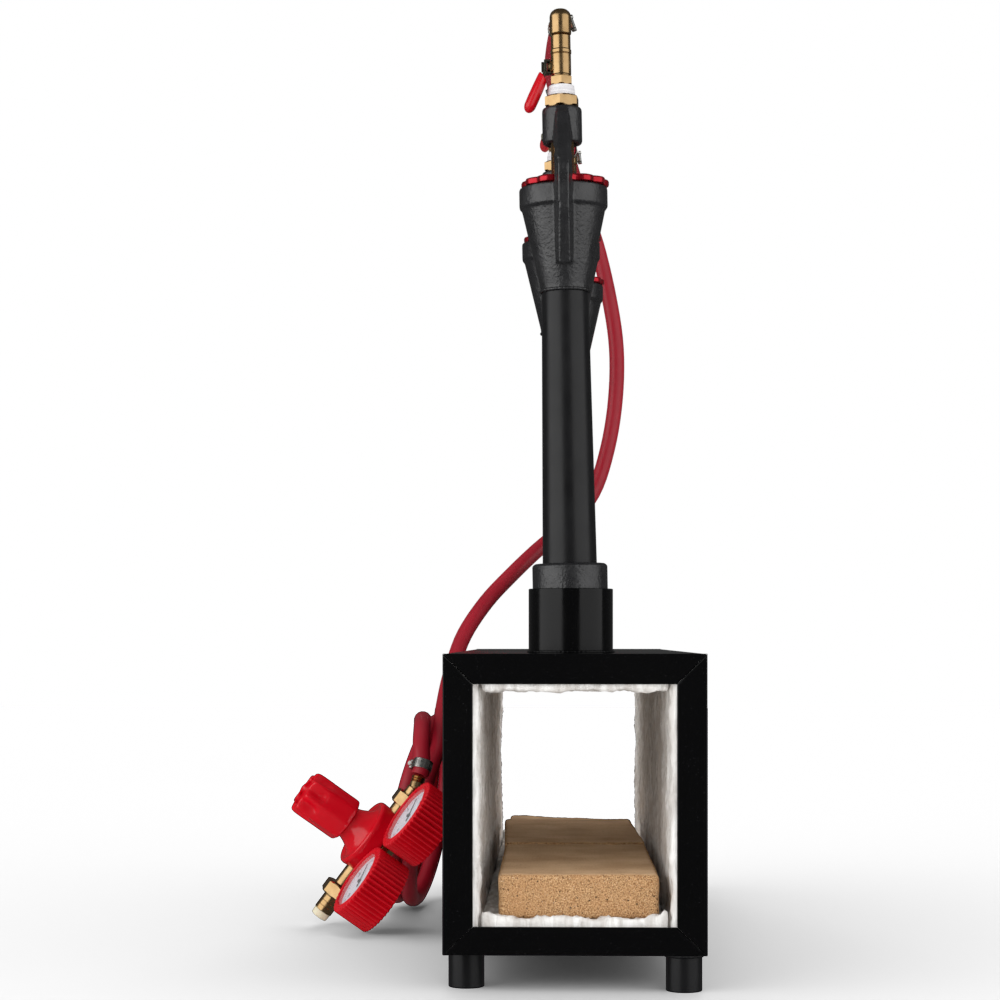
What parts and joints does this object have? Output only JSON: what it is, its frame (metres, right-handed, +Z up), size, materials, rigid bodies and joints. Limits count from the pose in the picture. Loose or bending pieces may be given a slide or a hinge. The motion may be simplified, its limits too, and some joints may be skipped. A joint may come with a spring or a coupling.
{
  "type": "gas forge",
  "caption": "Steel box forge lined with ceramic fibre and firebrick, upright gas burners with choke discs and lever valves, hose and a pressure regulator with gauges",
  "frame": {"origin": "on the floor under the middle of the steel box", "axes": "+Z up, +Y from the front opening to the back, +X to the right seen from the front"},
  "size_m": [0.3351, 0.69, 0.723],
  "materials": {
    "gloss_black_paint": "gloss",
    "satin_black_paint": "satin",
    "cast_black_paint": "cast texture under satin black paint",
    "ceramic_fibre": "matt ceramic-fibre blanket",
    "firebrick": "matt, speckled",
    "brass": "polished",
    "red_anodised": "gloss red anodised",
    "lever_steel": "dark plated",
    "red_vinyl": "dipped vinyl, gloss",
    "red_hose": "semi-gloss",
    "red_enamel": "gloss",
    "red_rubber": "satin",
    "needle_black": "matt black"
  },
  "bodies": {
    "body": {"shell": "gloss_black_paint", "front_frame": "gloss_black_paint", "rear_frame": "gloss_black_paint", "burner_sleeve_front": "gloss_black_paint", "burner_sleeve_middle": "gloss_black_paint", "burner_sleeve_rear": "gloss_black_paint", "leg_front_left": "satin_black_paint", "leg_front_right": "satin_black_paint", "leg_rear_left": "satin_black_paint", "leg_rear_right": "satin_black_paint", "mixing_tube_front": "satin_black_paint", "mixing_tube_middle": "satin_black_paint", "mixing_tube_rear": "satin_black_paint", "flare_front": "cast_black_paint", "flare_middle": "cast_black_paint", "flare_rear": "cast_black_paint", "bell_front": "cast_black_paint", "bell_middle": "cast_black_paint", "bell_rear": "cast_black_paint", "lining_left": "ceramic_fibre", "lining_right": "ceramic_fibre", "lining_top": "ceramic_fibre", "lining_floor": "ceramic_fibre", "firebrick_front": "firebrick", "firebrick_middle": "firebrick", "firebrick_rear": "firebrick", "nozzle_tube_front": "brass", "nozzle_tube_middle": "brass", "nozzle_tube_rear": "brass", "nozzle_nut_front": "brass", "nozzle_nut_middle": "brass", "nozzle_nut_rear": "brass", "valve_body_front": "brass", "valve_body_middle": "brass", "valve_body_rear": "brass", "inlet_fitting_front": "brass", "inlet_fitting_middle": "brass", "inlet_fitting_rear": "brass", "regulator_body": "brass", "regulator_inlet": "brass", "jumper_hose_front": "red_hose", "jumper_hose_rear": "red_hose", "main_hose": "red_hose", "hose_coil": "red_hose", "hose_tail": "red_hose", "regulator_bonnet": "red_enamel", "gauge_upper": "red_rubber", "gauge_lower": "red_rubber"},
    "lever_front": {"valve_lever_front": "lever_steel", "lever_grip_front": "red_vinyl"},
    "lever_middle": {"valve_lever_middle": "lever_steel", "lever_grip_middle": "red_vinyl"},
    "lever_rear": {"valve_lever_rear": "lever_steel", "lever_grip_rear": "red_vinyl"},
    "choke_front": {"choke_disc_front": "red_anodised"},
    "choke_middle": {"choke_disc_middle": "red_anodised"},
    "choke_rear": {"choke_disc_rear": "red_anodised"},
    "knob": {"regulator_knob": "red_enamel"},
    "needle_upper": {"gauge_needle_upper": "needle_black"},
    "needle_lower": {"gauge_needle_lower": "needle_black"}
  },
  "joints": [
    {"name": "valve_front", "type": "hinge", "parent": "body", "child": "lever_front", "pos_m": [-0.01998, -0.23, 0.67915], "axis": [0.9998, 0, 0.0175], "range_deg": [0, 90]},
    {"name": "valve_middle", "type": "hinge", "parent": "body", "child": "lever_middle", "pos_m": [-0.02073, 0.00383, 0.6791], "axis": [0.9334, -0.3584, 0.0196], "range_deg": [-90, 0]},
    {"name": "valve_rear", "type": "hinge", "parent": "body", "child": "lever_rear", "pos_m": [-0.01053, 0.23383, 0.67943], "axis": [0.9336, -0.3584, -0.0033], "range_deg": [-90, 0]},
    {"name": "choke_travel_front", "type": "slide", "parent": "body", "child": "choke_front", "axis": [-0.0175, 0, 0.9998], "range_m": [0, 0.012]},
    {"name": "choke_travel_middle", "type": "slide", "parent": "body", "child": "choke_middle", "axis": [-0.0209, 0, 0.9998], "range_m": [0, 0.012]},
    {"name": "choke_travel_rear", "type": "slide", "parent": "body", "child": "choke_rear", "axis": [0.0035, 0, 1], "range_m": [0, 0.012]},
    {"name": "pressure_knob", "type": "hinge", "parent": "body", "child": "knob", "pos_m": [-0.19433, 0.01596, 0.0908], "axis": [0.7766, 0.2402, -0.5824], "range_deg": [0, 1080]},
    {"name": "needle_turn_upper", "type": "hinge", "parent": "body", "child": "needle_upper", "pos_m": [-0.13564, -0.0337, 0.09794], "axis": [0.7766, 0.2402, -0.5824], "range_deg": [0, 270], "stiffness_Nm_per_rad": 0.0005},
    {"name": "needle_turn_lower", "type": "hinge", "parent": "body", "child": "needle_lower", "pos_m": [-0.17705, -0.03362, 0.04275], "axis": [0.7766, 0.2402, -0.5824], "range_deg": [0, 270], "stiffness_Nm_per_rad": 0.0005}
  ]
}
